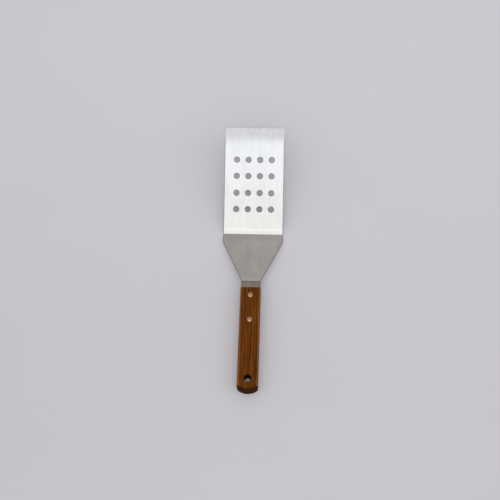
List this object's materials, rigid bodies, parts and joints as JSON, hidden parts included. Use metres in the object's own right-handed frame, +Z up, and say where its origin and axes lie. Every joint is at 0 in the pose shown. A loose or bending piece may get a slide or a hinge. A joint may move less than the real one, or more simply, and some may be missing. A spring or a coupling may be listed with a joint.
{
  "type": "perforated turner",
  "caption": "Offset kitchen turner: a bent stainless blade with drain holes and a ground front edge, its tang riveted into a slotted hardwood handle with a hang hole.",
  "frame": {"origin": "on the table under the middle of the turner's bounding box, as it lies at rest on its first bend and its tail", "axes": "+Y from the handle's tail to the blade's front edge, +X to the right across the blade, +Z up from the table"},
  "size_m": [0.0762, 0.3346, 0.0642],
  "materials": {
    "stainless_sheet": "satin",
    "hardwood": "satin",
    "rivet_metal": "satin"
  },
  "bodies": {
    "root": {"turner_blade": "stainless_sheet", "handle": "hardwood", "front_rivet_sleeve": "rivet_metal", "front_rivet_pin": "rivet_metal", "rear_rivet_sleeve": "rivet_metal", "rear_rivet_pin": "rivet_metal"}
  },
  "joints": []
}
